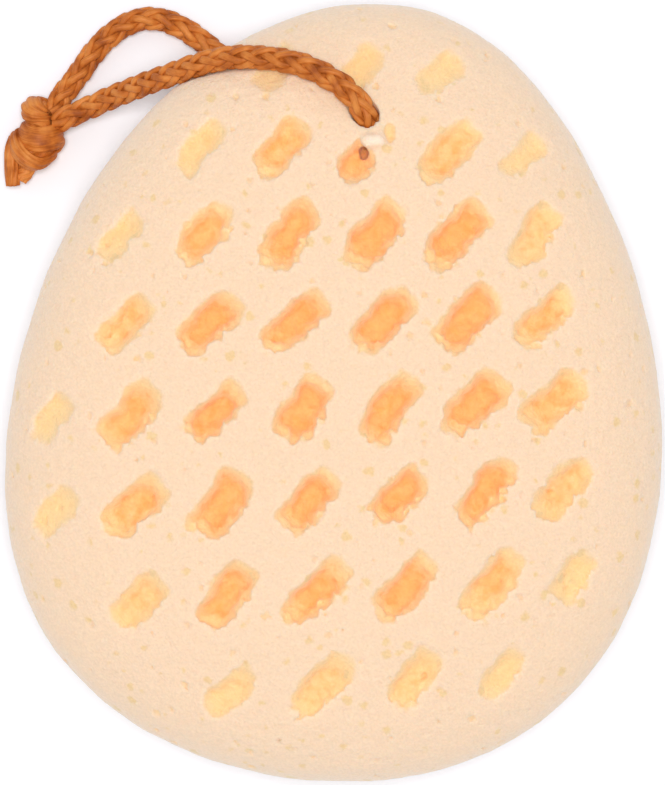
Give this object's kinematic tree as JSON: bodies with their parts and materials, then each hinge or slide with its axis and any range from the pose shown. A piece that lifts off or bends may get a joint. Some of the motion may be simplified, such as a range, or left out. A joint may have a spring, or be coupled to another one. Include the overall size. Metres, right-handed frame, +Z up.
{
  "type": "bath sponge",
  "caption": "Egg-shaped foam bath sponge with a lattice of slanted pits in both faces and a knotted hanging loop of braided cord through its narrow end.",
  "frame": {"origin": "on the surface that the sponge lies on, under the middle of the foam body's outline, the cord left out", "axes": "+Y from the broad end to the narrow end with the cord, +Z up through the thickness, +X to the right looking down on the face"},
  "size_m": [0.1114, 0.1311, 0.04],
  "materials": {
    "foam": "open-cell polyurethane foam, pale peach, soft and matte, with deeper orange pits",
    "cord": "round braided polyester cord, golden brown, with a slight waxed sheen"
  },
  "bodies": {
    "root": {"sponge_body": "foam", "cord_loop": "cord", "cord_knot": "cord"}
  },
  "joints": []
}
